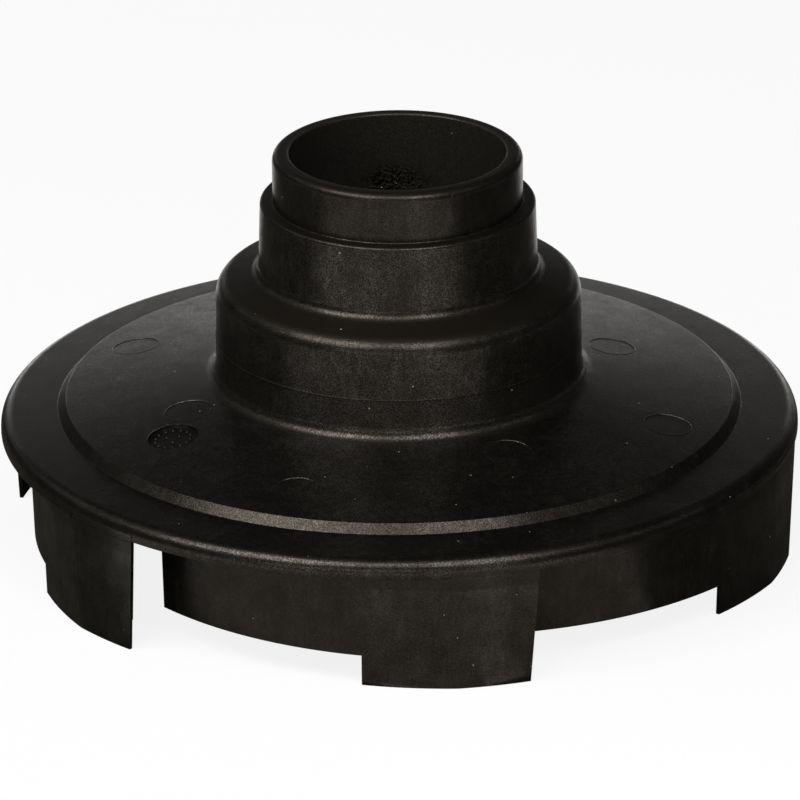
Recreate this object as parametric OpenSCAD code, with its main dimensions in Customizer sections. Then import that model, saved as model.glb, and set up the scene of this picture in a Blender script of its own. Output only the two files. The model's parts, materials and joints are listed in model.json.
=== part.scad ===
// Pump diffuser: a stepped inlet snout on a shallow conical cover, with spiral
// vanes under its rim. It stands on the tips of the vanes' arms, with +Z up the
// snout and the origin on the axis at the arm tips.

/* [Spigot] */
// Diameter of the inlet bore through the snout
bore_d = 51; // [44:0.5:54]
// Wall of the spigot round the bore
spigot_wall = 4; // [3:0.1:5.5]
// Height of the spigot above the neck's top
spigot_h = 12; // [6:0.5:24]
// Fillet at the spigot's foot
spigot_fillet = 0.3; // [0.1:0.1:0.6]
// Rounding of the lip's outer edge
lip_round = 1.2; // [0.4:0.1:1.5]
// Rounding of the lip's inner edge
bore_round = 0.6; // [0.2:0.1:1]

/* [Neck] */
// Width of the ledge round the spigot's foot, out to the neck's edge
ledge_w = 3; // [2.5:0.1:6.5]
// Height of the neck from its root to its top
neck_h = 17.2; // [10:0.2:34]
// Draft of the neck's wall, in degrees
neck_draft = 1.8; // [0:0.1:3]
// Rounding of the neck's top edge
neck_round = 0.8; // [0.3:0.1:1]
// Fillet at the neck's root
neck_fillet = 3; // [1:0.2:4]

/* [Collar] */
// Diameter of the collar at its upper edge
collar_d = 86.4; // [82:0.2:98]
// Height of the collar's upper edge above the rim plane
collar_h = 31.2; // [26:0.2:44]
// Rise of the sloping shoulder from the collar's edge to the neck's root
shoulder_rise = 2.6; // [1:0.1:6]
// Rounding of the collar's upper edge
collar_round = 3; // [1:0.2:4]
// Draft of the collar's wall, in degrees
collar_draft = 0.7; // [0:0.1:2]
// Fillet where the collar meets the cover
collar_fillet = 3.5; // [1:0.5:6]
// Height of the parting line round the collar above the rim plane
line_h = 17.4; // [15:0.2:22]

/* [Cover] */
// Thickness of the moulded walls
wall = 4; // [3:0.1:4.5]
// Slope of the conical cover, in degrees
cone_deg = 8.7; // [4:0.1:11]
// Diameter at the foot of the step inside the rim
step_d = 162.5; // [154:0.5:170]
// Width of the step's sloping face
step_w = 1.95; // [1:0.05:4]
// Height of the step
step_h = 2.24; // [1:0.02:4]
// Rounding of the step's two edges
step_round = 0.5; // [0.1:0.1:0.8]

/* [Rim] */
// Outer diameter of the rim
rim_d = 190; // [184:0.5:210]
// Depth of the rim from its plane to its underside
rim_t = 5.3; // [4.6:0.1:8]
// Fall of the rim's top from the step's foot to its edge
rim_fall = 0.9; // [0:0.1:1.6]
// Rounding of the rim's upper edge
rim_round = 2.5; // [0.5:0.1:2.8]
// Rounding of the rim's lower edge
rim_edge = 0.4; // [0.1:0.1:0.6]

/* [Vanes] */
// Number of vanes under the rim
vane_count = 6; // [4:1:7]
// Height of a vane from its lower edge to the rim's underside
vane_h = 20.3; // [10:0.1:40]
// Drop of a vane's arm below its lower edge
arm_drop = 7.4; // [3:0.1:15]
// Thickness of a vane
vane_t = 2.4; // [1.6:0.1:3.4]
// Thickness of a vane's tail
tail_t = 1.1; // [1:0.1:1.5]
// Thickness of the lip along the arm's tip
lip_t = 0.9; // [0.6:0.1:0.9]
// Draft of a vane's faces, in degrees
vane_draft = 1.6; // [0:0.1:3]
// Inset of the flush arm from the rim's edge
arm_inset = 0.2; // [0.1:0.1:2]
// Distance of the centre of a vane's curve from the axis
vane_throw = 13; // [8:0.5:15]
// Direction of that centre from a vane's middle, in degrees
throw_deg = 65.7; // [55:0.1:75]
// Angle of a vane's nose from its middle
nose_deg = -41; // [-44:0.5:-30]
// Angle at which a vane's arm starts
arm_deg = -5.7; // [-15:0.1:0]
// Angle at which a vane comes flush with the rim
flush_deg = 7.9; // [4:0.1:9]
// Angle of a vane's tail at the arm tip
tail_deg = 18.3; // [12:0.1:19]
// Lean of the tail, in degrees
tail_lean = 4; // [0:0.5:6]

/* [Wear ring] */
// Bore of the wear ring
ring_bore_d = 61; // [57:0.5:66]
// Thickness of the wear ring's flange
ring_flange_t = 3; // [2:0.1:5]
// Wall of the wear ring's sleeve
ring_sleeve_t = 3.2; // [2:0.1:4]
// Height of the wear ring
ring_h = 10; // [6:0.5:16]
// Rounding of the wear ring's edges
ring_round = 0.5; // [0.2:0.1:0.8]
// Clearance of the wear ring in the collar
ring_clear = 0.15; // [0.05:0.05:0.4]

/* [Hidden] */
$fn = 96;
// Segments in each rounded corner of a section
arc_steps = 8;
// Largest share of an edge that the roundings at its two ends may take up
round_share = 0.95;
moulded_black = [0.1, 0.095, 0.09];
ring_grey = [0.55, 0.56, 0.57];

// Heights above the arm tips
rim_under_z = arm_drop + vane_h;
rim_z = rim_under_z + rim_t;
line_z = rim_z + line_h;
collar_z = rim_z + collar_h;
root_z = collar_z + shoulder_rise;
neck_z = root_z + neck_h;
lip_z = neck_z + spigot_h;
ceiling_z = collar_z - wall;

// Heights at which the snout's sections meet, clear of the fillets
neck_foot_z = root_z + neck_fillet;
spigot_foot_z = neck_z + 2 * spigot_fillet;

// Outward run of the collar's wall and fall of the cover, for each millimetre
wall_lean = tan(collar_draft);
cone_lean = tan(cone_deg);

// Radii from the axis
rim_r = rim_d / 2;
step_r = step_d / 2;
crest_r = step_r - step_w;
under_r = crest_r - step_w;
bore_r = bore_d / 2;
spigot_r = bore_r + spigot_wall;
neck_r = spigot_r + ledge_w;
root_r = neck_wall_r(root_z);
collar_r = collar_d / 2;
line_r = collar_wall_r(line_z);
throat_r = line_r - wall;
flush_r = rim_r - arm_inset;

// Where the cover's cone meets the collar's wall
crest_z = rim_z + step_h;
foot_r = (line_r + (line_z - crest_z - crest_r * cone_lean) * wall_lean) / (1 - cone_lean * wall_lean);
foot_z = cone_z(foot_r);

// Curve of a vane, which meets the flush radius at its flush angle
vane_centre = polar(vane_throw, throw_deg);
vane_r = norm(polar(flush_r, flush_deg) - vane_centre);
// Reach of the cutting shapes beyond the part
clear = rim_r;

// Radius of the neck's wall and of the collar's wall at height z
function neck_wall_r(z) = neck_r + (neck_z - z) * tan(neck_draft);
function collar_wall_r(z) = collar_r + (collar_z - z) * wall_lean;

// Half the angle at corner b between a and c
function half_angle(a, b, c) = acos((a - b) * (c - b) / norm(a - b) / norm(c - b)) / 2;

// Points of the arc of radius r that rounds corner b between a and c
function corner_arc(a, b, c, r) =
    let (
        to_a = (a - b) / norm(a - b),
        to_c = (c - b) / norm(c - b),
        half = half_angle(a, b, c),
        centre = b + (to_a + to_c) / norm(to_a + to_c) * r / sin(half),
        from = b + to_a * r / tan(half) - centre,
        to = b + to_c * r / tan(half) - centre,
        start = atan2(from.y, from.x),
        turn = atan2(from.x * to.y - from.y * to.x, from * to)
    )
    [for (i = [0 : arc_steps]) centre + polar(r, start + turn * i / arc_steps)];

// Outline of [radius, height, rounding] corners, with each corner rounded. Roundings
// that share an edge too short for both are made smaller together.
function rounded(corners) =
    let (
        n = len(corners),
        flat = [for (p = corners) [p[0], p[1]]],
        before = [for (i = [0 : n - 1]) flat[(i + n - 1) % n]],
        after = [for (i = [0 : n - 1]) flat[(i + 1) % n]],
        reach = [for (i = [0 : n - 1]) corners[i][2] / tan(half_angle(before[i], flat[i], after[i]))],
        taken = [for (i = [0 : n - 1]) (reach[i] + reach[(i + 1) % n]) / norm(after[i] - flat[i])],
        fit = [for (t = taken) t > round_share ? round_share / t : 1]
    )
    [for (i = [0 : n - 1])
        each corners[i][2] > 0
            ? corner_arc(before[i], flat[i], after[i], corners[i][2] * min(fit[i], fit[(i + n - 1) % n]))
            : [flat[i]]];

// Height of the cover's upper face at radius r
function cone_z(r) = crest_z + (crest_r - r) * cone_lean;

// Point at radius r and angle a
function polar(r, a) = r * [cos(a), sin(a)];

// Sector round the axis between two angles
module sector(from, to, height) {
    linear_extrude(height)
        polygon([[0, 0], polar(rim_r + clear, from), polar(rim_r + clear, to)]);
}

// Plain tube at the top of the snout
module spigot() {
    color(moulded_black)
    rotate_extrude()
    polygon(rounded([
        [spigot_r, spigot_foot_z, 0],
        [spigot_r, lip_z, lip_round],
        [bore_r, lip_z, bore_round],
        [bore_r, spigot_foot_z, 0]
    ]));
}

// Wider tube below the spigot, with the ledge round the spigot's foot
module neck() {
    color(moulded_black)
    rotate_extrude()
    polygon(rounded([
        [neck_wall_r(neck_foot_z), neck_foot_z, 0],
        [neck_r, neck_z, neck_round],
        [spigot_r, neck_z, spigot_fillet],
        [spigot_r, spigot_foot_z, 0],
        [bore_r, spigot_foot_z, 0],
        [bore_r, neck_foot_z, 0]
    ]));
}

// Sloping top of the collar, with the neck's root
module shoulder() {
    color(moulded_black)
    rotate_extrude()
    polygon(rounded([
        [collar_wall_r(ceiling_z), ceiling_z, 0],
        [collar_r, collar_z, collar_round],
        [root_r, root_z, neck_fillet],
        [neck_wall_r(neck_foot_z), neck_foot_z, 0],
        [bore_r, neck_foot_z, 0],
        [bore_r, ceiling_z, bore_round]
    ]));
}

// Collar's wall above its parting line
module collar() {
    color(moulded_black)
    rotate_extrude()
    polygon([
        [line_r, line_z],
        [collar_wall_r(ceiling_z), ceiling_z],
        [throat_r, ceiling_z],
        [throat_r, line_z]
    ]);
}

// Collar below its parting line, conical cover, step and rim
module cover() {
    color(moulded_black)
    rotate_extrude()
    polygon(rounded([
        [throat_r, line_z, 0],
        [throat_r, cone_z(throat_r) - wall, wall],
        [under_r - wall, cone_z(under_r - wall) - wall, wall / 2],
        [under_r, rim_under_z, wall / 4],
        [rim_r, rim_under_z, rim_edge],
        [rim_r, rim_z - rim_fall, rim_round],
        [step_r, rim_z, step_round],
        [crest_r, crest_z, step_round],
        [foot_r, foot_z, collar_fillet],
        [line_r, line_z, 0]
    ]));
}

// Frustum between two heights that has radius r at the rim's underside and a vane's draft
module drafted(r, low, high) {
    translate([0, 0, low])
        cylinder(
            r1 = r - (rim_under_z - low) * tan(vane_draft),
            r2 = r - (rim_under_z - high) * tan(vane_draft),
            h = high - low
        );
}

// Space inside a vane's curve and the flush radius, each set in by its own amount
module vane_space(curve_in, flush_in, low, high) {
    intersection() {
        translate(vane_centre) drafted(vane_r - curve_in, low, high);
        drafted(flush_r - flush_in, low, high);
    }
}

// Spiral vane with its arm, the k-th round the rim
module vane(k) {
    color(moulded_black)
    rotate(360 / vane_count * (k - 1) - 90)
    difference() {
        intersection() {
            vane_space(0, 0, 0, rim_under_z);
            sector(nose_deg, tail_deg - nose_deg, rim_under_z);
        }
        vane_space(vane_t, tail_t, -arm_drop, rim_under_z + arm_drop);
        vane_space(lip_t, lip_t, -arm_drop, arm_drop);
        // Space under the stretch in front of the arm
        translate([0, 0, arm_drop - clear])
            sector(2 * nose_deg, arm_deg, clear);
        // Leaning tail
        rotate(tail_deg)
            translate([flush_r, 0, 0])
                rotate([-tail_lean, 0, 0])
                    translate([-clear, 0, -clear])
                        cube(2 * clear);
    }
}

// Flanged ring pushed up into the collar, in which the impeller's eye runs
module wear_ring() {
    flange_r = throat_r - ring_clear;
    bore = ring_bore_d / 2;
    sleeve_r = bore + ring_sleeve_t;
    color(ring_grey)
    rotate_extrude()
    polygon(rounded([
        [bore, ceiling_z, ring_round],
        [flange_r, ceiling_z, ring_round],
        [flange_r, ceiling_z - ring_flange_t, ring_round],
        [sleeve_r, ceiling_z - ring_flange_t, ring_round],
        [sleeve_r, ceiling_z - ring_h, ring_round],
        [bore, ceiling_z - ring_h, ring_round]
    ]));
}

spigot();
neck();
shoulder();
collar();
cover();
wear_ring();
for (k = [1 : vane_count])
    vane(k);
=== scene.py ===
import json
import math
from functools import partial, reduce

import bmesh
import bpy
from bpy.props import FloatProperty, FloatVectorProperty, IntProperty, PointerProperty
from mathutils import Matrix, Vector, geometry


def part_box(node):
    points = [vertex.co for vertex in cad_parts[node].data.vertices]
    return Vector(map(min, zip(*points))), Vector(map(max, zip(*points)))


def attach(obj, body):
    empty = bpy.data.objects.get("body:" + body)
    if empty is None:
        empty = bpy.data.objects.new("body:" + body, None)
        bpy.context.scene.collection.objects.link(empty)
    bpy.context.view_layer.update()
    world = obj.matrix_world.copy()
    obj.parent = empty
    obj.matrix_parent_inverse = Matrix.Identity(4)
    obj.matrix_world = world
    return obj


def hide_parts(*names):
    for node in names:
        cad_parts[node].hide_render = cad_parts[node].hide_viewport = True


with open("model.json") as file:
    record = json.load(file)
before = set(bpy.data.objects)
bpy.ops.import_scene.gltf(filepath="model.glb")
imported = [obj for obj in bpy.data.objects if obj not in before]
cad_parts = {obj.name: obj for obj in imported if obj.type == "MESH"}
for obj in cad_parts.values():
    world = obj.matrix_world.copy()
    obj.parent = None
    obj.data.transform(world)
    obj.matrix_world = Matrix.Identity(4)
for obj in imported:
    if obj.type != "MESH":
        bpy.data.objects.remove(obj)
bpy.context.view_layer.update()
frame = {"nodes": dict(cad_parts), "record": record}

bl_info = {
    "name": "Pump Diffuser",
    "version": (1, 0, 0),
    "blender": (4, 5, 0),
    "location": "View3D > Sidebar > Diffuser",
    "description": "Dresses the moulded pump diffuser and sets its studio",
    "category": "Object",
}

MM = 0.001
BODY = "root"
PHOTO_SIDE_PX = 800

# Boxes of the CAD solids, from which the main heights and radii come
SPIGOT_LOW, SPIGOT_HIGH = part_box("spigot")
NECK_LOW, NECK_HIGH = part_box("neck")
SHOULDER_LOW, SHOULDER_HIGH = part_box("shoulder")
COLLAR_LOW, COLLAR_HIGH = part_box("collar")
COVER_LOW, COVER_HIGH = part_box("cover")
RING_LOW, RING_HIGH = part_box("wear_ring")
VANES = sorted(name for name in frame["nodes"] if name.startswith("vane_"))
MOUNTS = {mount["name"]: mount for mount in frame["record"]["mounts"]}


def length(name, description, default):
    """A size in metres that a user may change."""
    return FloatProperty(name=name, description=description, default=default, unit="LENGTH", precision=5)


def angle(name, description, degrees):
    """An angle that a user may change, given in degrees."""
    return FloatProperty(
        name=name, description=description, default=math.radians(degrees), unit="ROTATION"
    )


def colour(name, description, default):
    """A linear colour that a user may change."""
    return FloatVectorProperty(
        name=name, description=description, default=default, size=3, min=0, max=1, subtype="COLOR"
    )


class SnoutSizes(bpy.types.PropertyGroup):
    """Sizes of the stepped inlet snout."""

    bore_r: length("Bore radius", "Radius of the inlet bore", MOUNTS["inlet_bore"]["dims"]["r_mm"] * MM)
    lip_round: length("Lip rounding", "Rounding of the lip's outer edge", 2.0 * MM)
    bore_round: length("Bore rounding", "Rounding of the bore's edges", 0.6 * MM)
    spigot_fillet: length("Spigot fillet", "Fillet at the spigot's foot", 0.3 * MM)
    ledge_w: length("Ledge", "Width of the ledge round the spigot's foot", 3.0 * MM)
    neck_round: length("Neck rounding", "Rounding of the neck's top edge", 0.8 * MM)
    neck_fillet: length("Neck fillet", "Fillet at the neck's root", 3.0 * MM)
    collar_round: length("Collar rounding", "Rounding of the collar's upper edge", 4.5 * MM)
    bead_h: length("Bead height", "Height of the fine bead along the parting line", 0.15 * MM)
    bead_w: length("Bead width", "Width of the bead on each side of the parting line", 0.2 * MM)
    wall: length("Wall", "Thickness of the moulded walls", 4.0 * MM)


class CoverSizes(bpy.types.PropertyGroup):
    """Sizes of the conical cover, its step and its rim."""

    cone: angle("Cone", "Slope of the conical cover", 8.7)
    collar_fillet: length("Collar fillet", "Fillet where the collar meets the cover", 3.5 * MM)
    step_r: length("Step radius", "Radius at the foot of the step", 81.25 * MM)
    step_w: length("Step width", "Width of the step's sloping face", 1.95 * MM)
    step_h: length("Step height", "Height of the step", 2.24 * MM)
    step_round: length("Step rounding", "Rounding of the step's two edges", 0.5 * MM)
    rim_t: length("Rim depth", "Depth of the rim from its plane to its underside", 5.3 * MM)
    rim_fall: length("Rim fall", "Fall of the rim's top from the step to its edge", 0.9 * MM)
    rim_round: length("Rim rounding", "Rounding of the rim's upper edge", 3.4 * MM)
    rim_edge: length("Rim edge", "Rounding of the rim's lower edge", 0.4 * MM)
    arm_proud: length("Arm stand", "How far the arms' top ends stand proud of the rim", 0.15 * MM)
    mark_r: length("Mark radius", "Radius of an ejector pin's mark", 5.5 * MM)
    mark_depth: length("Mark depth", "Depth of an ejector pin's mark", 0.09 * MM)
    outer_marks_r: length("Outer marks", "Distance of the outer marks from the axis", 68.3 * MM)
    inner_marks_r: length("Inner marks", "Distance of the inner marks from the axis", 54.0 * MM)
    mark_burr: length("Mark burr", "Height of the fine burr round a mark", 0.045 * MM)
    roundel_r: length("Roundel radius", "Radius of the sunk roundel", 5.8 * MM)
    roundel_depth: length("Roundel depth", "Depth of the sunk roundel", 0.7 * MM)
    pip_count: IntProperty(name="Pips", description="Pips round the roundel", default=14, min=0)
    pip_r: length("Pip radius", "Radius of a pip in the roundel", 0.42 * MM)
    pip_h: length("Pip height", "Height of a pip in the roundel", 0.3 * MM)


class VaneSizes(bpy.types.PropertyGroup):
    """Sizes of a spiral vane and its arm."""

    arm_drop: length("Arm drop", "Drop of the arm below the vane's lower edge", 7.4 * MM)
    thickness: length("Thickness", "Thickness of a vane", 2.4 * MM)
    tail_t: length("Tail thickness", "Thickness of a vane's tail", 1.1 * MM)
    lip_t: length("Lip thickness", "Thickness of the lip along the arm's tip", 0.9 * MM)
    draft: angle("Draft", "Draft of a vane's faces", 1.6)
    throw: length("Throw", "Distance of the vane's centre of curve from the axis", 13.0 * MM)
    throw_dir: angle("Throw direction", "Direction of that centre from the vane's middle", 65.7)
    nose: angle("Nose", "Angle of the nose from the vane's middle", -41.0)
    arm: angle("Arm", "Angle at which the arm starts", -5.7)
    cap: angle("Cap", "Angle at which the arm's top end starts to stand on the rim's edge", 4.0)
    flush: angle("Flush", "Angle at which the vane comes flush with the rim", 7.9)
    tail: angle("Tail", "Angle of the tail at the arm's tip", 18.3)
    tail_lean: angle("Tail lean", "Lean of the tail", 4.0)
    cap_drop: length("Cap drop", "Drop of the arm's top end below the rim's corner", 2.5 * MM)
    edge_round: length("Edge rounding", "Rounding of a vane's edges", 0.16 * MM)


class RingSizes(bpy.types.PropertyGroup):
    """Sizes of the wear ring in the collar."""

    bore_r: length("Bore radius", "Radius of the ring's bore", MOUNTS["ring_bore"]["dims"]["r_mm"] * MM)
    flange_t: length("Flange", "Thickness of the ring's flange", 3.0 * MM)
    sleeve_t: length("Sleeve", "Wall of the ring's sleeve", 3.2 * MM)
    edge_round: length("Edge rounding", "Rounding of the ring's edges", 0.5 * MM)


class Finish(bpy.types.PropertyGroup):
    """Colours of the finishes and of the floor."""

    dark: colour("Dark", "Darkest tone of the black moulding", (0.0009, 0.0009, 0.0008))
    brown: colour("Brown", "Warm tone of the flow marks", (0.0115, 0.0105, 0.0087))
    # Painted light inside the bore: a paler tone that stands in for the light on the bore's walls
    bore_light: colour("Bore light", "Tone of the light painted inside the bore", (0.0190, 0.0177, 0.0148))
    crackle: colour("Crackle", "Tone of the crackled patch inside the bore", (0.0012, 0.0011, 0.0010))
    dust: colour("Dust", "Tone of specks and scuffs", (0.20, 0.19, 0.17))
    ring: colour("Ring", "Tone of the wear ring", (0.42, 0.42, 0.40))
    floor: colour("Floor", "Colour of the studio floor", (0.82, 0.82, 0.82))


class DiffuserSettings(bpy.types.PropertyGroup):
    """Everything that a user may change on the diffuser."""

    snout: PointerProperty(type=SnoutSizes)
    cover: PointerProperty(type=CoverSizes)
    vane: PointerProperty(type=VaneSizes)
    ring: PointerProperty(type=RingSizes)
    finish: PointerProperty(type=Finish)


# Outlines and meshes

ARC_STEPS = 10
TURN_STEPS = 288
CREASE_DEG = 35


def corner_arc(before, corner, after, radius, steps=ARC_STEPS):
    """Points of the arc that rounds a corner of an outline."""
    to_before = (before - corner).normalized()
    to_after = (after - corner).normalized()
    half = to_before.angle(to_after) / 2
    centre = corner + (to_before + to_after).normalized() * radius / math.sin(half)
    start = corner + to_before * radius / math.tan(half) - centre
    end = corner + to_after * radius / math.tan(half) - centre
    turn = math.atan2(start.x * end.y - start.y * end.x, start.dot(end))
    return [centre + Matrix.Rotation(turn * i / steps, 2) @ start for i in range(steps + 1)]


def rounded(corners):
    """Outline through (radius, height, rounding) corners, with each corner rounded."""
    flat = [Vector(corner[:2]) for corner in corners]
    points = []
    for i, corner in enumerate(corners):
        if corner[2] > 0:
            points += corner_arc(flat[i - 1], flat[i], flat[(i + 1) % len(flat)], corner[2])
        else:
            points.append(flat[i])
    return points


def at_angle(radius, turn, height):
    """Point at a radius, an angle from the front towards +X, and a height."""
    return Vector((radius * math.sin(turn), -radius * math.cos(turn), height))


def spin(bm, outline, closed=True):
    """Turns an outline of (radius, height) points round the axis, and gives its rings of vertices."""
    turns = [math.tau * i / TURN_STEPS for i in range(TURN_STEPS)]
    rings = [[bm.verts.new(at_angle(p.x, turn, p.y)) for turn in turns] for p in outline]
    for i in range(len(rings) if closed else len(rings) - 1):
        one, two = rings[i], rings[(i + 1) % len(rings)]
        for j in range(TURN_STEPS):
            k = (j + 1) % TURN_STEPS
            bm.faces.new((one[j], one[k], two[k], two[j]))
    return rings


def make_piece(bm, name, nodes, material):
    """Makes a smooth mesh object that stands for CAD nodes and rides on the body."""
    bmesh.ops.recalc_face_normals(bm, faces=bm.faces)
    mesh = bpy.data.meshes.new(name)
    bm.to_mesh(mesh)
    bm.free()
    mesh.shade_smooth()
    mesh.set_sharp_from_angle(angle=math.radians(CREASE_DEG))
    mesh.materials.append(material)
    piece = bpy.data.objects.new(name, mesh)
    bpy.context.scene.collection.objects.link(piece)
    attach(piece, BODY)
    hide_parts(*nodes)
    return piece


# Shader node groups

POSITION = ("Position", "NodeSocketVector", (0, 0, 0))
ROUNDEL_DEG = -57.9
ROUNDEL_OUT = 62.5 * MM
CLOUDS_PER_M = 170
CLOUD_RANGE = (0.30, 0.70)
STREAKS_PER_M = 620
STREAK_DRAW = (1.0, 1.0, 0.3)
STREAK_RANGE = (0.32, 0.68)
FINE_GRAINS_PER_M = 3600
SPARKLE_RANGE = (0.43, 0.62)
COARSE_GRAINS_PER_M = 1500
CRACKS_PER_M = 1300
CRACK_RANGE = (0.42, 0.58)
CRACKLE_CENTRE = Vector((-0.6, 25.5, 78.5)) * MM
CRACKLE_STRETCH = (105, 160, 210)
CRACKLE_FADE = (1.15, 0.5)
SPECK_CELLS_PER_M = 300
SPECK_FROM = 0.5
SPECK_R = 0.07
# Radii or heights between which each dull place comes in
# The bore's painted light comes in between these two radii
BORE_LIGHT_EDGE = (26.4 * MM, 25.8 * MM)
COLLAR_EDGE = (46.5 * MM, 44.5 * MM)
STEP_CREST = (79.0 * MM, 79.4 * MM)
STEP_FOOT = (81.6 * MM, 81.2 * MM)
RIM_START = (81.2 * MM, 81.8 * MM)
RIM_FLAT_END = (92.4 * MM, 91.4 * MM)
RIM_WALL_TOP = (29.2 * MM, 28.6 * MM)
RIM_WALL_FOOT = (24.4 * MM, 24.8 * MM)
ROUNDEL_EDGE = (5.8 * MM, 5.6 * MM)
# Upward parts of the normal between which a face counts as no underside, and as level
UPPER_SIDE = (-0.2, -0.1)
LEVEL = (0.70, 0.93)
# Share of the gloss that each dull place loses
STEP_DULL = 0.4
RIM_FLAT_DULL = 0.6
RIM_WALL_DULL = 0.5
ROUNDEL_DULL = 0.95
# On the snout's level tops this share is also taken off the tone, as painted shade
TOPS_DULL_AND_SHADE = 0.9


def new_group(name, inputs, outputs):
    """A new shader node group that puts out numbers, with its input and output nodes."""
    group = bpy.data.node_groups.new(name, "ShaderNodeTree")
    for socket_name, kind, default in inputs:
        socket = group.interface.new_socket(socket_name, in_out="INPUT", socket_type=kind)
        socket.default_value = default
    for socket_name in outputs:
        group.interface.new_socket(socket_name, in_out="OUTPUT", socket_type="NodeSocketFloat")
    return group, group.nodes.new("NodeGroupInput"), group.nodes.new("NodeGroupOutput")


def noise_node(tree, vector, scale, detail, roughness):
    """Noise of a given scale, in features for each metre."""
    node = tree.nodes.new("ShaderNodeTexNoise")
    node.inputs["Scale"].default_value = scale
    node.inputs["Detail"].default_value = detail
    node.inputs["Roughness"].default_value = roughness
    tree.links.new(vector, node.inputs["Vector"])
    return node.outputs["Fac"]


def remap(tree, value, low, high, to_low=0.0, to_high=1.0):
    """Value stretched from one range to another, and held within it."""
    node = tree.nodes.new("ShaderNodeMapRange")
    tree.links.new(value, node.inputs["Value"])
    node.inputs["From Min"].default_value = low
    node.inputs["From Max"].default_value = high
    node.inputs["To Min"].default_value = to_low
    node.inputs["To Max"].default_value = to_high
    return node.outputs["Result"]


def maths(tree, operation, one, two):
    """One arithmetic step on two values, each a socket or a number."""
    node = tree.nodes.new("ShaderNodeMath")
    node.operation = operation
    for socket, value in zip(node.inputs, (one, two)):
        if isinstance(value, (int, float)):
            socket.default_value = value
        else:
            tree.links.new(value, socket)
    return node.outputs["Value"]


def vectors(tree, operation, one, two):
    """One step on two vectors, the second given as numbers."""
    node = tree.nodes.new("ShaderNodeVectorMath")
    node.operation = operation
    tree.links.new(one, node.inputs[0])
    node.inputs[1].default_value = two
    return node.outputs["Value" if operation == "LENGTH" else "Vector"]


def blend(tree, factor, one, two):
    """Mix of two colours, each a socket or a colour."""
    node = tree.nodes.new("ShaderNodeMix")
    node.data_type = "RGBA"
    tree.links.new(factor, node.inputs["Factor"])
    for name, value in (("A_Color", one), ("B_Color", two)):
        socket = next(s for s in node.inputs if s.identifier == name)
        if hasattr(value, "is_linked"):
            tree.links.new(value, socket)
        else:
            socket.default_value = (*value, 1.0)
    return next(s for s in node.outputs if s.identifier == "Result_Color")


def highest(tree, *values):
    """Highest of several values."""
    return reduce(partial(maths, tree, "MAXIMUM"), values)


def product(tree, *values):
    """Several values multiplied together."""
    return reduce(partial(maths, tree, "MULTIPLY"), values)


def axis_part(tree, vector, axis):
    """Part of a vector along an axis."""
    node = tree.nodes.new("ShaderNodeSeparateXYZ")
    tree.links.new(vector, node.inputs["Vector"])
    return node.outputs[axis]


def flat_distance(tree, place, centre=(0, 0, 0)):
    """Distance of a place from the upright line through a centre."""
    offset = vectors(tree, "SUBTRACT", place, centre)
    flat = vectors(tree, "MULTIPLY", offset, (1, 1, 0))
    return vectors(tree, "LENGTH", flat, (0, 0, 0))


def flow_marks_group():
    """Marks that the melt leaves in a moulding: wide clouds, and streaks drawn out along the wall."""
    group, given, result = new_group("flow marks", [POSITION], ["Cloud", "Streak"])
    place = given.outputs["Position"]
    cloud = noise_node(group, place, CLOUDS_PER_M, detail=5.0, roughness=0.62)
    drawn = vectors(group, "MULTIPLY", place, STREAK_DRAW)
    streak = noise_node(group, drawn, STREAKS_PER_M, detail=4.0, roughness=0.62)
    group.links.new(remap(group, cloud, *CLOUD_RANGE), result.inputs["Cloud"])
    group.links.new(remap(group, streak, *STREAK_RANGE), result.inputs["Streak"])
    return group


def spark_grain_group():
    """Fine grain of a spark-eroded mould, with a little waviness below it."""
    scale = ("Scale", "NodeSocketFloat", FINE_GRAINS_PER_M)
    group, given, result = new_group("spark grain", [POSITION, scale], ["Height", "Sparkle"])
    place = given.outputs["Position"]
    fine = noise_node(group, place, FINE_GRAINS_PER_M, detail=1.0, roughness=0.5)
    group.links.new(given.outputs["Scale"], fine.node.inputs["Scale"])
    coarse = noise_node(group, place, COARSE_GRAINS_PER_M, detail=2.0, roughness=0.5)
    group.links.new(maths(group, "ADD", fine, coarse), result.inputs["Height"])
    group.links.new(remap(group, fine, *SPARKLE_RANGE), result.inputs["Sparkle"])
    return group


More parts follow.
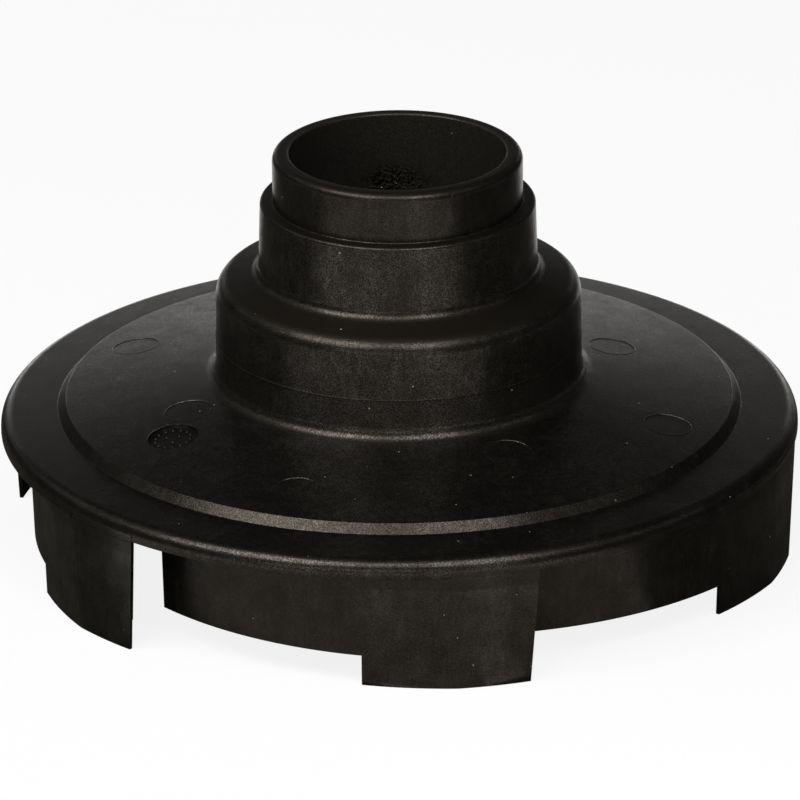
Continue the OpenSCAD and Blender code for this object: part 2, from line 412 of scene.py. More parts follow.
def place_masks_group():
    """Masks of the painted light inside the bore, the crackled patch, the collar, its level tops, which
    take painted shade, and every dull place.
    """
    normal = ("Normal", "NodeSocketVector", (0, 0, 1))
    outputs = ["Bore light", "Crackle", "Dull", "Collar", "Tops"]
    group, given, result = new_group("dull places and painted light", [POSITION, normal], outputs)
    place = given.outputs["Position"]
    height = axis_part(group, place, "Z")
    upward = axis_part(group, given.outputs["Normal"], "Z")
    out = flat_distance(group, place)
    # Painted light: mask of the paler tone inside the bore
    bore_light = remap(group, out, *BORE_LIGHT_EDGE)
    spread = vectors(group, "SUBTRACT", place, CRACKLE_CENTRE)
    spread = vectors(group, "MULTIPLY", spread, CRACKLE_STRETCH)
    patch = remap(group, vectors(group, "LENGTH", spread, (0, 0, 0)), *CRACKLE_FADE)
    cracks = noise_node(group, place, CRACKS_PER_M, detail=2.0, roughness=0.6)
    cracks = remap(group, cracks, *CRACK_RANGE)
    collar = remap(group, out, *COLLAR_EDGE)
    # Level tops of the snout: painted shade that darkens their tone, and a loss of gloss
    tops = product(group, collar, remap(group, upward, *LEVEL, 0.0, TOPS_DULL_AND_SHADE))
    step = remap(group, out, *STEP_FOOT, 0.0, STEP_DULL)
    step = product(group, step, remap(group, out, *STEP_CREST))
    rim_flat = remap(group, out, *RIM_FLAT_END, 0.0, RIM_FLAT_DULL)
    rim_wall = remap(group, height, *RIM_WALL_FOOT, 0.0, RIM_WALL_DULL)
    rim_wall = product(group, rim_wall, remap(group, height, *RIM_WALL_TOP))
    rim = product(group, remap(group, out, *RIM_START), highest(group, rim_flat, rim_wall))
    away = flat_distance(group, place, at_angle(ROUNDEL_OUT, math.radians(ROUNDEL_DEG), 0))
    roundel = remap(group, away, *ROUNDEL_EDGE, 0.0, ROUNDEL_DULL)
    roundel = product(group, roundel, remap(group, upward, *UPPER_SIDE))
    masks = {
        "Bore light": bore_light,
        "Crackle": product(group, patch, cracks),
        "Dull": highest(group, rim, step, roundel, tops),
        "Collar": collar,
        "Tops": tops,
    }
    for name, mask in masks.items():
        group.links.new(mask, result.inputs[name])
    return group


def specks_group():
    """Sparse small specks of dust and tiny nicks."""
    group, given, result = new_group("specks", [POSITION], ["Speck"])
    cells = group.nodes.new("ShaderNodeTexVoronoi")
    cells.inputs["Scale"].default_value = SPECK_CELLS_PER_M
    group.links.new(given.outputs["Position"], cells.inputs["Vector"])
    split = group.nodes.new("ShaderNodeSeparateColor")
    group.links.new(cells.outputs["Color"], split.inputs["Color"])
    size = remap(group, split.outputs["Red"], SPECK_FROM, 1.0, 0.0, SPECK_R)
    near = maths(group, "LESS_THAN", cells.outputs["Distance"], size)
    group.links.new(near, result.inputs["Speck"])
    return group


def place_group(tree, group, position, **settings):
    """Places a shader node group in a material, fed with a position."""
    node = tree.nodes.new("ShaderNodeGroup")
    node.node_tree = group
    tree.links.new(position, node.inputs["Position"])
    for name, value in settings.items():
        node.inputs[name].default_value = value
    return node.outputs


def new_material(name):
    """A material with its node tree and its shader."""
    material = bpy.data.materials.new(name)
    material.use_nodes = True
    tree = material.node_tree
    return material, tree, tree.nodes["Principled BSDF"]


def bump(tree, shader, height, distance, strength):
    """Feeds a height to the shader's normal."""
    node = tree.nodes.new("ShaderNodeBump")
    node.inputs["Distance"].default_value = distance
    node.inputs["Strength"].default_value = strength
    tree.links.new(height, node.inputs["Height"])
    tree.links.new(node.outputs["Normal"], shader.inputs["Normal"])


def effect(name, make):
    """A shared node group, made the first time that it is asked for."""
    return bpy.data.node_groups.get(name) or make()


# Finishes

COAT_IOR = 1.45
COAT_ROUGHNESS = 0.27
COAT_TINT = (1.0, 0.95, 0.88, 1)
SPECULAR_LEVEL = 0.19
SPECULAR_TINT = (1.0, 0.80, 0.58, 1)
# Roughness where there is no cloud and where it is full, and what the snout's level tops add
ROUGH_BARE = 0.34
ROUGH_CLOUD = 0.27
ROUGH_TOPS = 0.38
# Shares of the full gloss, tone or sparkle
GLOSS_MIDDLE = 0.6
SMEAR_TONE = 0.5
SPARKLE_MEAN = 0.4
COLLAR_DARK = 0.3
# Least share of the bore's painted light, where the grain's sparkle is least
BORE_LIGHT_DARK = 0.35
# Height of the cracks, in heights of the grain
CRACKLE_RISE = 4.0
RING_GRAIN = 0.03 * MM
RING_BUMP = 0.3
RING_ROUGH = (0.42, 0.5)
RING_WORN = 0.8
RING_WEAR = 0.25


def black_moulding(
    finish, name, *, grain_scale, grain_height, sparkle, gloss, tone_mean, tone_grain, streaks,
    mottle=0.25, collar_tone=0.0,
):
    """Satin black filled plastic with cloudy flow marks, grain, dull and shiny patches and specks, with
    painted shade on the snout's level tops and painted light inside the bore.
    """
    known = bpy.data.materials.get(name)
    if known:
        return known
    material, tree, shader = new_material(name)
    position = tree.nodes.new("ShaderNodeTexCoord").outputs["Object"]
    marks = place_group(tree, effect("flow marks", flow_marks_group), position)
    grain = place_group(tree, effect("spark grain", spark_grain_group), position, Scale=grain_scale)
    specks = place_group(tree, effect("specks", specks_group), position)
    dull = place_group(tree, effect("dull places and painted light", place_masks_group), position)
    facing = tree.nodes.new("ShaderNodeTexCoord").outputs["Normal"]
    tree.links.new(facing, dull["Dull"].node.inputs["Normal"])

    def speckled(low, high):
        """Value that goes from low to high with the grain's sparkle."""
        return remap(tree, grain["Sparkle"], 0.0, 1.0, low, high)

    darkest = tone_mean - SPARKLE_MEAN * tone_grain
    smears = product(tree, marks["Cloud"], marks["Streak"], SMEAR_TONE)
    tone = maths(tree, "ADD", smears, speckled(darkest, darkest + tone_grain))
    if collar_tone:
        paler = speckled(COLLAR_DARK * collar_tone, collar_tone)
        tone = maths(tree, "ADD", tone, product(tree, dull["Collar"], paler))
    # Painted shade: the tone of the snout's level tops is darkened
    unshaded = maths(tree, "SUBTRACT", 1.0, dull["Tops"])
    body = blend(tree, product(tree, tone, unshaded), finish.dark, finish.brown)
    # Painted light: a paler tone inside the bore, with the grain's sparkle in it
    bore_light = product(tree, dull["Bore light"], speckled(BORE_LIGHT_DARK, 1.0))
    bore_lit = blend(tree, bore_light, body, finish.bore_light)
    crackled = blend(tree, dull["Crackle"], bore_lit, finish.crackle)
    dusted = blend(tree, specks["Speck"], crackled, finish.dust)
    tree.links.new(dusted, shader.inputs["Base Color"])
    rough = remap(tree, marks["Cloud"], 0.0, 1.0, ROUGH_BARE, ROUGH_CLOUD)
    rough = maths(tree, "ADD", rough, product(tree, dull["Tops"], ROUGH_TOPS))
    tree.links.new(rough, shader.inputs["Roughness"])
    least = (GLOSS_MIDDLE - mottle) * gloss
    most = (GLOSS_MIDDLE + mottle) * gloss
    shine = product(
        tree,
        remap(tree, marks["Cloud"], 0.0, 1.0, least, most),
        remap(tree, marks["Streak"], 0.0, 1.0, 1.0 - streaks, 1.0),
        speckled(1.0 - sparkle, 1.0 + sparkle),
        maths(tree, "SUBTRACT", 1.0, dull["Dull"]),
    )
    tree.links.new(shine, shader.inputs["Coat Weight"])
    shader.inputs["Coat IOR"].default_value = COAT_IOR
    shader.inputs["Coat Roughness"].default_value = COAT_ROUGHNESS
    shader.inputs["Coat Tint"].default_value = COAT_TINT
    shader.inputs["Specular IOR Level"].default_value = SPECULAR_LEVEL
    shader.inputs["Specular Tint"].default_value = SPECULAR_TINT
    height = maths(tree, "ADD", grain["Height"], product(tree, dull["Crackle"], CRACKLE_RISE))
    bump(tree, shader, height, grain_height, strength=1.0)
    return material


def ring_plastic(finish):
    """Smooth grey plastic of the wear ring, with a faint grain."""
    material, tree, shader = new_material("ring plastic")
    position = tree.nodes.new("ShaderNodeTexCoord").outputs["Object"]
    grain = place_group(tree, effect("spark grain", spark_grain_group), position)
    tone = remap(tree, grain["Sparkle"], 0.0, 1.0, 0.0, RING_WEAR)
    worn = tuple(RING_WORN * part for part in finish.ring)
    tree.links.new(blend(tree, tone, finish.ring, worn), shader.inputs["Base Color"])
    rough = remap(tree, grain["Sparkle"], 0.0, 1.0, *RING_ROUGH)
    tree.links.new(rough, shader.inputs["Roughness"])
    bump(tree, shader, grain["Height"], RING_GRAIN, RING_BUMP)
    return material


# Pieces

OUTER_MARKS_DEG = (-111.7, -20.6, 67.0, 157.5)
INNER_MARKS_DEG = (-157.5, -67.0, 28.0, 108.7)


class DIFFUSER_OT_snout(bpy.types.Operator):
    """Makes the spigot, neck, shoulder and collar of the inlet snout"""

    bl_idname = "diffuser.snout"
    bl_label = "Inlet Snout"

    def execute(self, context):
        settings = context.scene.diffuser
        size = settings.snout
        smooth = black_moulding(
            settings.finish, "spigot plastic", grain_scale=3600, grain_height=0.02 * MM,
            sparkle=0.85, gloss=0.45, tone_mean=0.22, tone_grain=0.5, streaks=0.5,
        )
        grained = black_moulding(
            settings.finish, "snout plastic", grain_scale=3600, grain_height=0.03 * MM,
            sparkle=1.0, gloss=0.8, tone_mean=0.25, tone_grain=0.62, streaks=0.6, mottle=0.4,
        )
        spigot_r = SPIGOT_HIGH.x
        neck_z = SPIGOT_LOW.z - 2 * size.spigot_fillet
        neck_r = spigot_r + size.ledge_w
        ceiling_z = SHOULDER_LOW.z
        collar_z = ceiling_z + size.wall
        root_z = NECK_LOW.z - size.neck_fillet
        wall_in = (NECK_HIGH.x - neck_r) / (neck_z - NECK_LOW.z)
        root_r = neck_r + (neck_z - root_z) * wall_in
        line_r = COLLAR_HIGH.x
        seat_r = SHOULDER_HIGH.x
        collar_r = seat_r - size.wall * (line_r - seat_r) / (ceiling_z - COLLAR_LOW.z)
        sections = {
            "spigot": [
                (spigot_r, SPIGOT_LOW.z, 0),
                (spigot_r, SPIGOT_HIGH.z, size.lip_round),
                (size.bore_r, SPIGOT_HIGH.z, size.bore_round),
                (size.bore_r, SPIGOT_LOW.z, 0),
            ],
            "neck": [
                (NECK_HIGH.x, NECK_LOW.z, 0),
                (neck_r, neck_z, size.neck_round),
                (spigot_r, neck_z, size.spigot_fillet),
                (spigot_r, NECK_HIGH.z, 0),
                (size.bore_r, NECK_HIGH.z, 0),
                (size.bore_r, NECK_LOW.z, 0),
            ],
            "shoulder": [
                (seat_r, ceiling_z, 0),
                (collar_r, collar_z, size.collar_round),
                (root_r, root_z, size.neck_fillet),
                (NECK_HIGH.x, NECK_LOW.z, 0),
                (size.bore_r, NECK_LOW.z, 0),
                (size.bore_r, ceiling_z, size.bore_round),
            ],
            "collar": [
                (line_r + size.bead_h, COLLAR_LOW.z, 0),
                (line_r + size.bead_h, COLLAR_LOW.z + size.bead_w / 2, size.bead_w / 3),
                (line_r, COLLAR_LOW.z + size.bead_w, size.bead_w / 6),
                (seat_r, ceiling_z, 0),
                (line_r - size.wall, ceiling_z, 0),
                (line_r - size.wall, COLLAR_LOW.z, 0),
            ],
        }
        for name, corners in sections.items():
            bm = bmesh.new()
            spin(bm, rounded(corners))
            black = smooth if name == "spigot" else grained
            make_piece(bm, name + "_moulding", [name], black)
        return {"FINISHED"}


def smooth_step(low, high, value):
    """Smooth rise from 0 at low to 1 at high."""
    t = min(1.0, max(0.0, (value - low) / (high - low)))
    return t * t * (3 - 2 * t)


class DIFFUSER_OT_cover(bpy.types.Operator):
    """Makes the conical cover with its step, rim, ejector marks and roundel"""

    bl_idname = "diffuser.cover"
    bl_label = "Cover"

    cone_pitch = 2.0 * MM
    # Half widths of a mark's wall and of its burr, and distances of the circles that frame them
    wall_half = 0.06 * MM
    burr_half = 0.12 * MM
    frame_near = 0.18 * MM
    frame_far = 0.3 * MM
    mark_points = 120
    # Distances of the pips from the roundel's middle, as parts of its radius
    pip_out = 0.72
    inner_pip_out = 0.3
    inner_pips = 3
    # Edge of a pip's flat top and circles of its mesh, as parts of its radius
    pip_top = 0.5
    pip_circles = (1.15, 1.0, 0.83, 0.67, 0.5, 0.25)
    pip_points = 12
    sheet_tolerance = 1e-7
    merge_within = 1e-6

    def execute(self, context):
        settings = context.scene.diffuser
        size = settings.cover
        snout = settings.snout
        lean = math.tan(size.cone)
        rim_z = COVER_LOW.z + size.rim_t
        rim_r = COVER_HIGH.x - size.arm_proud
        crest_r = size.step_r - size.step_w
        crest_z = rim_z + size.step_h
        under_r = crest_r - size.step_w
        line_r = COLLAR_HIGH.x
        line_z = COVER_HIGH.z
        throat_r = line_r - snout.wall
        wall_out = (line_r - SHOULDER_HIGH.x) / (COLLAR_HIGH.z - COLLAR_LOW.z)

        def cone_z(radius):
            """Height of the cone's face at a radius."""
            return crest_z + (crest_r - radius) * lean

        foot_r = (line_r + (line_z - crest_z - crest_r * lean) * wall_out) / (1 - lean * wall_out)
        corners = [
            (foot_r, cone_z(foot_r), size.collar_fillet),
            (line_r, line_z - snout.bead_w, snout.bead_w / 6),
            (line_r + snout.bead_h, line_z - snout.bead_w / 2, snout.bead_w / 3),
            (line_r + snout.bead_h, line_z, 0),
            (throat_r, line_z, 0),
            (throat_r, cone_z(throat_r) - snout.wall, snout.wall),
            (under_r - snout.wall, cone_z(under_r - snout.wall) - snout.wall, snout.wall / 2),
            (under_r, COVER_LOW.z, snout.wall / 4),
            (rim_r, COVER_LOW.z, size.rim_edge),
            (rim_r, rim_z - size.rim_fall, size.rim_round),
            (size.step_r, rim_z, size.step_round),
            (crest_r, crest_z, size.step_round),
        ]
        bm = bmesh.new()
        rings = spin(bm, rounded(corners), closed=False)
        self.cone_sheet(bm, size, rings[0], rings[-1], cone_z)
        black = black_moulding(
            settings.finish, "cover plastic", grain_scale=3000, grain_height=0.03 * MM,
            sparkle=0.9, gloss=0.95, tone_mean=0.08, tone_grain=0.12, streaks=0.45,
            collar_tone=0.5,
        )
        make_piece(bm, "cover_moulding", ["cover"], black)
        return {"FINISHED"}

    def cone_sheet(self, bm, size, inner_ring, outer_ring, cone_z):
        """Fills the cone between two rings, with the marks and the roundel sunk into it."""
        sunk = [(size.outer_marks_r, deg, size.mark_r, size.mark_depth) for deg in OUTER_MARKS_DEG]
        sunk += [(size.inner_marks_r, deg, size.mark_r, size.mark_depth) for deg in INNER_MARKS_DEG]
        sunk.append((ROUNDEL_OUT, ROUNDEL_DEG, size.roundel_r, size.roundel_depth))
        sunk = [(at_angle(out, math.radians(deg), 0), r, depth) for out, deg, r, depth in sunk]
        roundel, roundel_r, _ = sunk[-1]
        pips = []
        for count, out in ((size.pip_count, self.pip_out), (self.inner_pips, self.inner_pip_out)):
            turns = [math.tau * i / count for i in range(count)]
            pips += [roundel + at_angle(roundel_r * out, turn, 0) for turn in turns]
        wall, near, far = self.wall_half, self.frame_near, self.frame_far

        def height(point):
            """Height of the finished sheet at a point."""
            z = cone_z(math.hypot(point.x, point.y))
            for centre, r, depth in sunk:
                away = math.hypot(point.x - centre.x, point.y - centre.y)
                z -= depth * (1 - smooth_step(r - wall, r + wall, away))
                z += size.mark_burr * (1 - smooth_step(0, self.burr_half, abs(away - r - wall)))
            for pip in pips:
                away = math.hypot(point.x - pip.x, point.y - pip.y)
                z += size.pip_h * (1 - smooth_step(self.pip_top * size.pip_r, size.pip_r, away))
            return z

        points = []
        edges = []

        def closed_line(places):
            """Adds the points of a closed line and its edges."""
            first = len(points)
            for i, place in enumerate(places):
                points.append(place.to_2d())
                edges.append((first + i, first + (i + 1) % len(places)))

        def circle(centre, radius, count):
            """Adds a circle of points."""
            closed_line([centre + at_angle(radius, math.tau * i / count, 0) for i in range(count)])

        for ring in (inner_ring, outer_ring):
            closed_line([vert.co for vert in ring])
        offsets = (-far, -near, -wall, -wall / 2, 0, wall / 2, wall, 2 * wall, near, far)
        for centre, r, depth in sunk:
            for offset in offsets:
                circle(centre, r + offset, self.mark_points)
        for pip in pips:
            for part in self.pip_circles:
                circle(pip, size.pip_r * part, self.pip_points)
        inner_r = inner_ring[0].co.to_2d().length
        outer_r = outer_ring[0].co.to_2d().length
        rows = round((outer_r - inner_r) / self.cone_pitch)
        for row in range(1, rows):
            radius = inner_r + (outer_r - inner_r) * row / rows
            count = round(math.tau * radius / self.cone_pitch)
            for i in range(count):
                point = at_angle(radius, math.tau * (i + row % 2 / 2) / count, 0)
                gaps = [(point - centre).length - r for centre, r, depth in sunk]
                if all(gap > 2 * far for gap in gaps) or any(gap < -3 * far for gap in gaps[:-1]):
                    points.append(point.to_2d())
        verts, _, faces, _, _, _ = geometry.delaunay_2d_cdt(points, edges, [], 0, self.sheet_tolerance)
        made = [bm.verts.new((co.x, co.y, height(co))) for co in verts]
        for face in faces:
            middle = sum((verts[i] for i in face), Vector((0, 0))) / len(face)
            if inner_r < middle.length:
                bm.faces.new([made[i] for i in face])
        loose = [vert for vert in made if not vert.link_faces]
        bmesh.ops.delete(bm, geom=loose, context="VERTS")
        bmesh.ops.remove_doubles(bm, verts=bm.verts, dist=self.merge_within)


class DIFFUSER_OT_vanes(bpy.types.Operator):
    """Makes the spiral vanes with their arms"""

    bl_idname = "diffuser.vanes"
    bl_label = "Vanes"

    column_deg = 0.75
    cap_back = 1.2 * MM
    edge_segments = 2
    edge_from_deg = 40
    merge_within = 1e-7
    angle_slack = 1e-6

    def execute(self, context):
        settings = context.scene.diffuser
        black = black_moulding(
            settings.finish, "vane plastic", grain_scale=3000, grain_height=0.02 * MM,
            sparkle=0.45, gloss=0.95, tone_mean=0.18, tone_grain=0.2, streaks=0.25,
        )
        for i, name in enumerate(VANES):
            bm = bmesh.new()
            self.vane(bm, settings)
            turn = Matrix.Rotation(math.tau * i / len(VANES), 3, "Z")
            bmesh.ops.rotate(bm, verts=bm.verts, cent=(0, 0, 0), matrix=turn)
            piece = make_piece(bm, name + "_moulding", [name], black)
            edge = piece.modifiers.new("rounded edges", "BEVEL")
            edge.width = settings.vane.edge_round
            edge.segments = self.edge_segments
            edge.limit_method = "ANGLE"
            edge.angle_limit = math.radians(self.edge_from_deg)
            edge.harden_normals = True
        return {"FINISHED"}

    def join(self, bm, loops):
        """Joins each loop of vertices to the next one with faces."""
        for one, two in zip(loops, loops[1:]):
            for i in range(len(one)):
                k = (i + 1) % len(one)
                bm.faces.new((one[i], one[k], two[k], two[i]))

    def vane(self, bm, settings):
        """Fills a mesh with one vane, whose middle faces the front."""
        size = settings.vane
        cover = settings.cover
        top_z = COVER_LOW.z
        cap_z = top_z + cover.rim_t - cover.rim_fall - size.cap_drop
        slope = math.tan(size.draft)
        flush_r = COVER_HIGH.x - (cap_z - top_z) * slope
        centre = at_angle(size.throw, size.throw_dir, 0).to_2d()
        curve_r = (at_angle(flush_r, size.flush, 0).to_2d() - centre).length

        def tail_angle(z):
            """Angle of the leaning tail at a height."""
            return size.tail + math.atan(z * math.tan(size.tail_lean) / flush_r)

        def reach(turn, z, curve_in, flush_in):
            """Distance of a vane's face from the axis, set in from the outer face by given amounts."""
            draw = (top_z - z) * slope
            along = at_angle(1, turn, 0).to_2d()
            ahead = along.dot(centre)
            spread = (curve_r - curve_in - draw) ** 2 - centre.length_squared + ahead ** 2
            return min(flush_r - flush_in - draw, ahead + math.sqrt(spread))

        def stations(low, high):
            """Angles of the sections from low up to high, which is left out."""
            count = max(1, round(math.degrees(high - low) / self.column_deg))
            return [low + (high - low) * i / count for i in range(count)]

        fore = stations(size.nose, size.arm)
        aft = stations(size.arm, size.cap) + stations(size.cap, size.flush)
        aft += stations(size.flush, size.tail) + [size.tail]

        def turn_at(turn, z):
            """Angle of a station at a height, with the tail's lean spread over the flush stretch."""
            part = max(0.0, (turn - size.flush) / (size.tail - size.flush))
            return turn + part * (tail_angle(z) - size.tail)

        def post(turn, z, inset):
            """Vertex on one of the vane's faces, at a station and a height."""
            leaning = turn_at(turn, z)
            return bm.verts.new(at_angle(reach(leaning, z, *inset), leaning, z))

        thick = (size.thickness, size.tail_t)
        lip = (size.lip_t, size.lip_t)
        outside = (0.0, 0.0)
        drop_z = size.arm_drop
        # Corners of the sections across the vane, as heights and insets
        fore_section = ((drop_z, outside), (top_z, outside), (top_z, thick), (drop_z, thick))
        aft_section = ((0.0, outside), *fore_section, (drop_z, lip), (0.0, lip))
        fore_loops = [[post(turn, *corner) for corner in fore_section] for turn in fore + [size.arm]]
        aft_loops = [[post(turn, *corner) for corner in aft_section] for turn in aft]
        self.join(bm, fore_loops)
        self.join(bm, aft_loops)
        bm.faces.new(fore_loops[0])
        bm.faces.new(aft_loops[-1])
        start = aft_loops[0]
        bm.faces.new((start[0], start[1], start[5], start[6]))
        bmesh.ops.remove_doubles(bm, verts=bm.verts, dist=self.merge_within)
        # Top end of the arm, which stands on the rim's edge
        cap_loops = []
        for turn in [t for t in aft if t >= size.cap - self.angle_slack]:
            leaning = turn_at(turn, top_z)
            outer = reach(leaning, top_z, *outside)
            proud = outer + (cap_z - top_z) * slope
            back = proud - self.cap_back
            cap_section = ((outer, top_z), (proud, cap_z), (back, cap_z), (back, top_z))
            cap_loops.append([bm.verts.new(at_angle(r, leaning, z)) for r, z in cap_section])
        self.join(bm, cap_loops)
        bm.faces.new(cap_loops[0])
        bm.faces.new(cap_loops[-1])


class DIFFUSER_OT_wear_ring(bpy.types.Operator):
    """Makes the flanged wear ring inside the collar"""

    bl_idname = "diffuser.wear_ring"
    bl_label = "Wear Ring"

    def execute(self, context):
        settings = context.scene.diffuser
        size = settings.ring
        flange_r = RING_HIGH.x
        sleeve_r = size.bore_r + size.sleeve_t
        flange_z = RING_HIGH.z - size.flange_t
        bm = bmesh.new()
        spin(bm, rounded([
            (size.bore_r, RING_HIGH.z, size.edge_round),
            (flange_r, RING_HIGH.z, size.edge_round),
            (flange_r, flange_z, size.edge_round),
            (sleeve_r, flange_z, size.edge_round),
            (sleeve_r, RING_LOW.z, size.edge_round),
            (size.bore_r, RING_LOW.z, size.edge_round),
        ]))
        make_piece(bm, "wear_ring_turned", ["wear_ring"], ring_plastic(settings.finish))
        return {"FINISHED"}


# Studio

CAMERA_ELEVATION_DEG = 22.4682
CAMERA_ROLL_DEG = -0.4505
CAMERA_DISTANCE = 1.672583
CAMERA_TARGET = Vector((0.000164, 0.0, 0.032717))
CAMERA_NEAR = 0.1
CAMERA_FAR = 50
FOCAL_PX = 7023.4
SENSOR_MM = 36.0
# Angle from the front and height angle in degrees, distance, width, height and radiance of each lamp
LAMPS = {
    "left softbox": (-50, 54, 1.5, 1.15, 0.72, 7.5),
    "right softbox": (23, 55, 1.5, 0.66, 0.80, 5.9),
    "left side lamp": (-112, 36, 1.5, 1.0, 0.5, 0.35),
    "right side lamp": (75, 42, 1.5, 1.0, 0.5, 0.40),
    "front fill": (-15, 14, 1.5, 1.4, 0.35, 2.0),
    "front strip": (20, 14, 0.23, 0.035, 0.17, 1.3),
}
FLOOR_R = 4.0
FLOOR_SIDES = 96
FLOOR_Z = -0.05 * MM
FLOOR_ROUGHNESS = 0.9
FLOOR_GLOW = 0.86
# Angle from the front in degrees, and radius, of points along the black mat's front edge
MAT_EDGE = (
    (-60, 0.130), (-56, 0.128), (-53, 0.126), (-50, 0.114), (-46, 0.102),
    (-43, 0.0985), (-20, 0.0985), (20, 0.0985), (42, 0.0985), (44, 0.103),
)
# Places along the black mat's right and left wings, between which the floor shows behind the part
MAT_RIGHT = (
    (1.0, -0.84), (2.6, 2.6), (1.1, 3.6),
    (0.22, 0.62), (0.26, 0.42), (0.24, 0.25), (0.115, 0.20), (0.075, 0.095),
)
MAT_LEFT = (
    (-0.075, 0.095), (-0.100, 0.20), (-0.20, 0.27), (-0.22, 0.40), (-0.18, 0.56),
    (-1.1, 3.6), (-2.6, 2.6), (-1.2, -0.44),
)
MAT_REAR_R = 0.098
MAT_REAR_DEG = range(145, 216, 5)
MAT_TONE = (0.070, 0.066, 0.058)
MAT_ROUGHNESS = 0.95
MAT_Z = -0.02 * MM
# First and last angle from the front in degrees, inner radius and tone of each floor shade mat, which is
# painted shade on the floor in front of the part, seen only in its reflections
FLOOR_SHADE_MATS = (
    (-48, -42, 0.0985, 0.42),
    (-42, -6, 0.0985, 0.58),
    (-6, 12, 0.0938, 0.38),
    (12, 18, 0.0985, 0.62),
    (18, 24, 0.0985, 0.32),
    (24, 42, 0.0985, 0.52),
)
FLOOR_SHADE_OUT = 0.150
FLOOR_SHADE_STEP_DEG = 6
FLOOR_SHADE_TINT = (1.0, 0.965, 0.9)
FLOOR_SHADE_Z = -0.03 * MM
# White sweep behind the part: its foot, its head and its two ends. Each is a product of ramps over a part
# of the direction, with two values of that part and the strengths there, which are 0 and 1 if not given.
SWEEP = (
    (("up", 0.06, 0.155, 1.0, 0.0), ("back", 0.92, 0.97)),
    (
        ("up", 0.12, 0.34, 0.52, 0.17), ("up", 0.46, 0.37), ("up", 0.05, 0.13),
        ("back", 0.80, 0.89), ("across", -0.05, 0.30, 1.0, 0.72),
    ),
    (("aside", 0.16, 0.19), ("aside", 0.31, 0.28), ("up", 0.16, 0.10), ("back", 0.0, 0.1, 0.0, 2.6)),
)
SURROUND = 0.022


def studio_camera():
    """Camera at the photograph's place, rolled as it was."""
    up_angle = math.radians(CAMERA_ELEVATION_DEG)
    roll = math.radians(CAMERA_ROLL_DEG)
    back = Vector((0, -math.cos(up_angle), math.sin(up_angle)))
    level = Vector((1, 0, 0))
    upward = back.cross(level)
    right = math.cos(roll) * level + math.sin(roll) * upward
    top = math.cos(roll) * upward - math.sin(roll) * level
    data = bpy.data.cameras.new("camera")
    data.sensor_width = SENSOR_MM
    data.lens = FOCAL_PX / PHOTO_SIDE_PX * SENSOR_MM
    data.clip_start = CAMERA_NEAR
    data.clip_end = CAMERA_FAR
    camera = bpy.data.objects.new("camera", data)
    turn = Matrix((right, top, back)).transposed()
    camera.matrix_world = Matrix.Translation(CAMERA_TARGET + CAMERA_DISTANCE * back) @ turn.to_4x4()
    bpy.context.scene.collection.objects.link(camera)
    bpy.context.scene.camera = camera


def softbox(name, turn_deg, rise_deg, distance, width, tall, radiance):
    """Soft lamp that faces the part from an angle round the front and a height angle."""
    data = bpy.data.lights.new(name, "AREA")
    data.shape = "RECTANGLE"
    data.size = width
    data.size_y = tall
    data.energy = radiance * math.pi * width * tall
    lamp = bpy.data.objects.new(name, data)
    rise = math.radians(rise_deg)
    away = at_angle(math.cos(rise), math.radians(turn_deg), math.sin(rise))
    lamp.location = CAMERA_TARGET + distance * away
    lamp.rotation_mode = "QUATERNION"
    lamp.rotation_quaternion = (-away).to_track_quat("-Z", "Y")
    lamp.visible_camera = False
    bpy.context.scene.collection.objects.link(lamp)


def matt_material(name, tone, roughness):
    """A material without gloss, with its node tree and its shader."""
    material, tree, shader = new_material(name)
    shader.inputs["Base Color"].default_value = (*tone, 1)
    shader.inputs["Roughness"].default_value = roughness
    shader.inputs["Specular IOR Level"].default_value = 0.0
    return material, tree, shader


def floor_material(finish):
    """Pale floor that the camera and reflections see as white, and that keeps the shadow."""
    material, tree, shader = matt_material("studio floor", finish.floor, FLOOR_ROUGHNESS)
    glow = tree.nodes.new("ShaderNodeEmission")
    glow.inputs["Color"].default_value = (1, 1, 1, 1)
    path = tree.nodes.new("ShaderNodeLightPath").outputs
    seen = highest(tree, path["Is Camera Ray"], path["Is Glossy Ray"], path["Is Transmission Ray"])
    mix = tree.nodes.new("ShaderNodeMixShader")
    tree.links.new(product(tree, seen, FLOOR_GLOW), mix.inputs["Fac"])
    tree.links.new(shader.outputs["BSDF"], mix.inputs[1])
    tree.links.new(glow.outputs["Emission"], mix.inputs[2])
    output = tree.nodes["Material Output"]
    tree.links.new(mix.outputs["Shader"], output.inputs["Surface"])
    return material


def stage_sheet(name, corners, material):
    """Flat sheet of the studio, which is no part of the object."""
    mesh = bpy.data.meshes.new(name)
    mesh.from_pydata([Vector(corner) for corner in corners], [], [range(len(corners))])
    mesh.materials.append(material)
    sheet = bpy.data.objects.new(name, mesh)
    bpy.context.scene.collection.objects.link(sheet)
    return sheet


def reflected_mat(name, tone, outline, height):
    """Flat mat on the floor, seen only in the part's reflections."""
    material, _, _ = matt_material(name, tone, MAT_ROUGHNESS)
    mat = stage_sheet(name, [point + Vector((0, 0, height)) for point in outline], material)
    mat.visible_camera = False
    mat.visible_diffuse = False
    mat.visible_transmission = False
    mat.visible_shadow = False


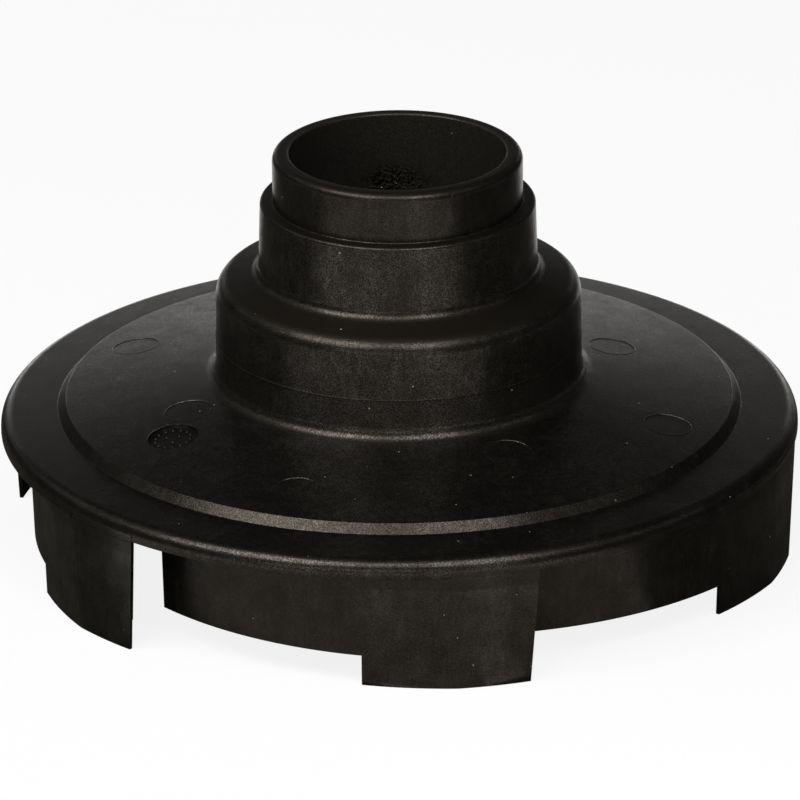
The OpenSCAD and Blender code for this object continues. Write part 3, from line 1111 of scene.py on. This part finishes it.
def studio_mats():
    """Black mat with wings at both sides of the part, and floor shade mats in front of it, which are
    painted shade.
    """
    outline = [at_angle(radius, math.radians(deg), 0) for deg, radius in MAT_EDGE]
    outline += [Vector((*place, 0)) for place in MAT_RIGHT]
    outline += [at_angle(MAT_REAR_R, math.radians(deg), 0) for deg in MAT_REAR_DEG]
    outline += [Vector((*place, 0)) for place in MAT_LEFT]
    reflected_mat("black mat", MAT_TONE, outline, MAT_Z)
    # Painted shade on the floor in front of the part, seen only in the part's reflections
    for first, last, radius, tone in FLOOR_SHADE_MATS:
        turns = [math.radians(deg) for deg in range(first, last + 1, FLOOR_SHADE_STEP_DEG)]
        outline = [at_angle(radius, turn, 0) for turn in turns]
        outline += [at_angle(FLOOR_SHADE_OUT, turn, 0) for turn in reversed(turns)]
        reflected_mat("painted floor shade", [tone * part for part in FLOOR_SHADE_TINT], outline, FLOOR_SHADE_Z)


def studio_world(scene):
    """White for the camera and for transmitted light, and the sweep for all other light."""
    world = bpy.data.worlds.new("studio")
    world.use_nodes = True
    tree = world.node_tree
    sky = tree.nodes["Background"]
    sky.inputs["Color"].default_value = (1, 1, 1, 1)
    direction = tree.nodes.new("ShaderNodeTexCoord").outputs["Generated"]
    across = axis_part(tree, direction, "X")
    parts = {
        "across": across,
        "aside": maths(tree, "ABSOLUTE", across, 0.0),
        "back": axis_part(tree, direction, "Y"),
        "up": axis_part(tree, direction, "Z"),
    }
    path = tree.nodes.new("ShaderNodeLightPath").outputs
    strengths = [path["Is Camera Ray"], path["Is Transmission Ray"], SURROUND]
    for ramps in SWEEP:
        strengths.append(product(tree, *(remap(tree, parts[name], *ramp) for name, *ramp in ramps)))
    tree.links.new(highest(tree, *strengths), sky.inputs["Strength"])
    scene.world = world


class DIFFUSER_OT_stage(bpy.types.Operator):
    """Makes the floor, the mats, the lamps, the world and the camera"""

    bl_idname = "diffuser.stage"
    bl_label = "Stage"

    def execute(self, context):
        scene = context.scene
        scene.view_settings.view_transform = "Standard"
        floor = [at_angle(FLOOR_R, math.tau * i / FLOOR_SIDES, FLOOR_Z) for i in range(FLOOR_SIDES)]
        stage_sheet("floor", floor, floor_material(scene.diffuser.finish))
        studio_mats()
        for name, settings in LAMPS.items():
            softbox(name, *settings)
        studio_world(scene)
        studio_camera()
        return {"FINISHED"}


class DIFFUSER_PT_panel(bpy.types.Panel):
    """Sidebar panel that lists the pieces and the stage"""

    bl_idname = "DIFFUSER_PT_panel"
    bl_label = "Pump Diffuser"
    bl_space_type = "VIEW_3D"
    bl_region_type = "UI"
    bl_category = "Diffuser"

    def draw(self, context):
        for operator in OPERATORS:
            self.layout.operator(operator.bl_idname)


OPERATORS = (
    DIFFUSER_OT_stage,
    DIFFUSER_OT_snout,
    DIFFUSER_OT_cover,
    DIFFUSER_OT_vanes,
    DIFFUSER_OT_wear_ring,
)
CLASSES = (
    SnoutSizes,
    CoverSizes,
    VaneSizes,
    RingSizes,
    Finish,
    DiffuserSettings,
    *OPERATORS,
    DIFFUSER_PT_panel,
)


def register():
    """Adds the classes and the settings to Blender."""
    for cls in CLASSES:
        bpy.utils.register_class(cls)
    bpy.types.Scene.diffuser = PointerProperty(type=DiffuserSettings)


def unregister():
    """Takes the settings and the classes out again."""
    del bpy.types.Scene.diffuser
    for cls in reversed(CLASSES):
        bpy.utils.unregister_class(cls)


def main():
    """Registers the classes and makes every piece."""
    register()
    bpy.ops.diffuser.stage()
    bpy.ops.diffuser.snout()
    bpy.ops.diffuser.cover()
    bpy.ops.diffuser.vanes()
    bpy.ops.diffuser.wear_ring()


if __name__ == "__main__":
    main()
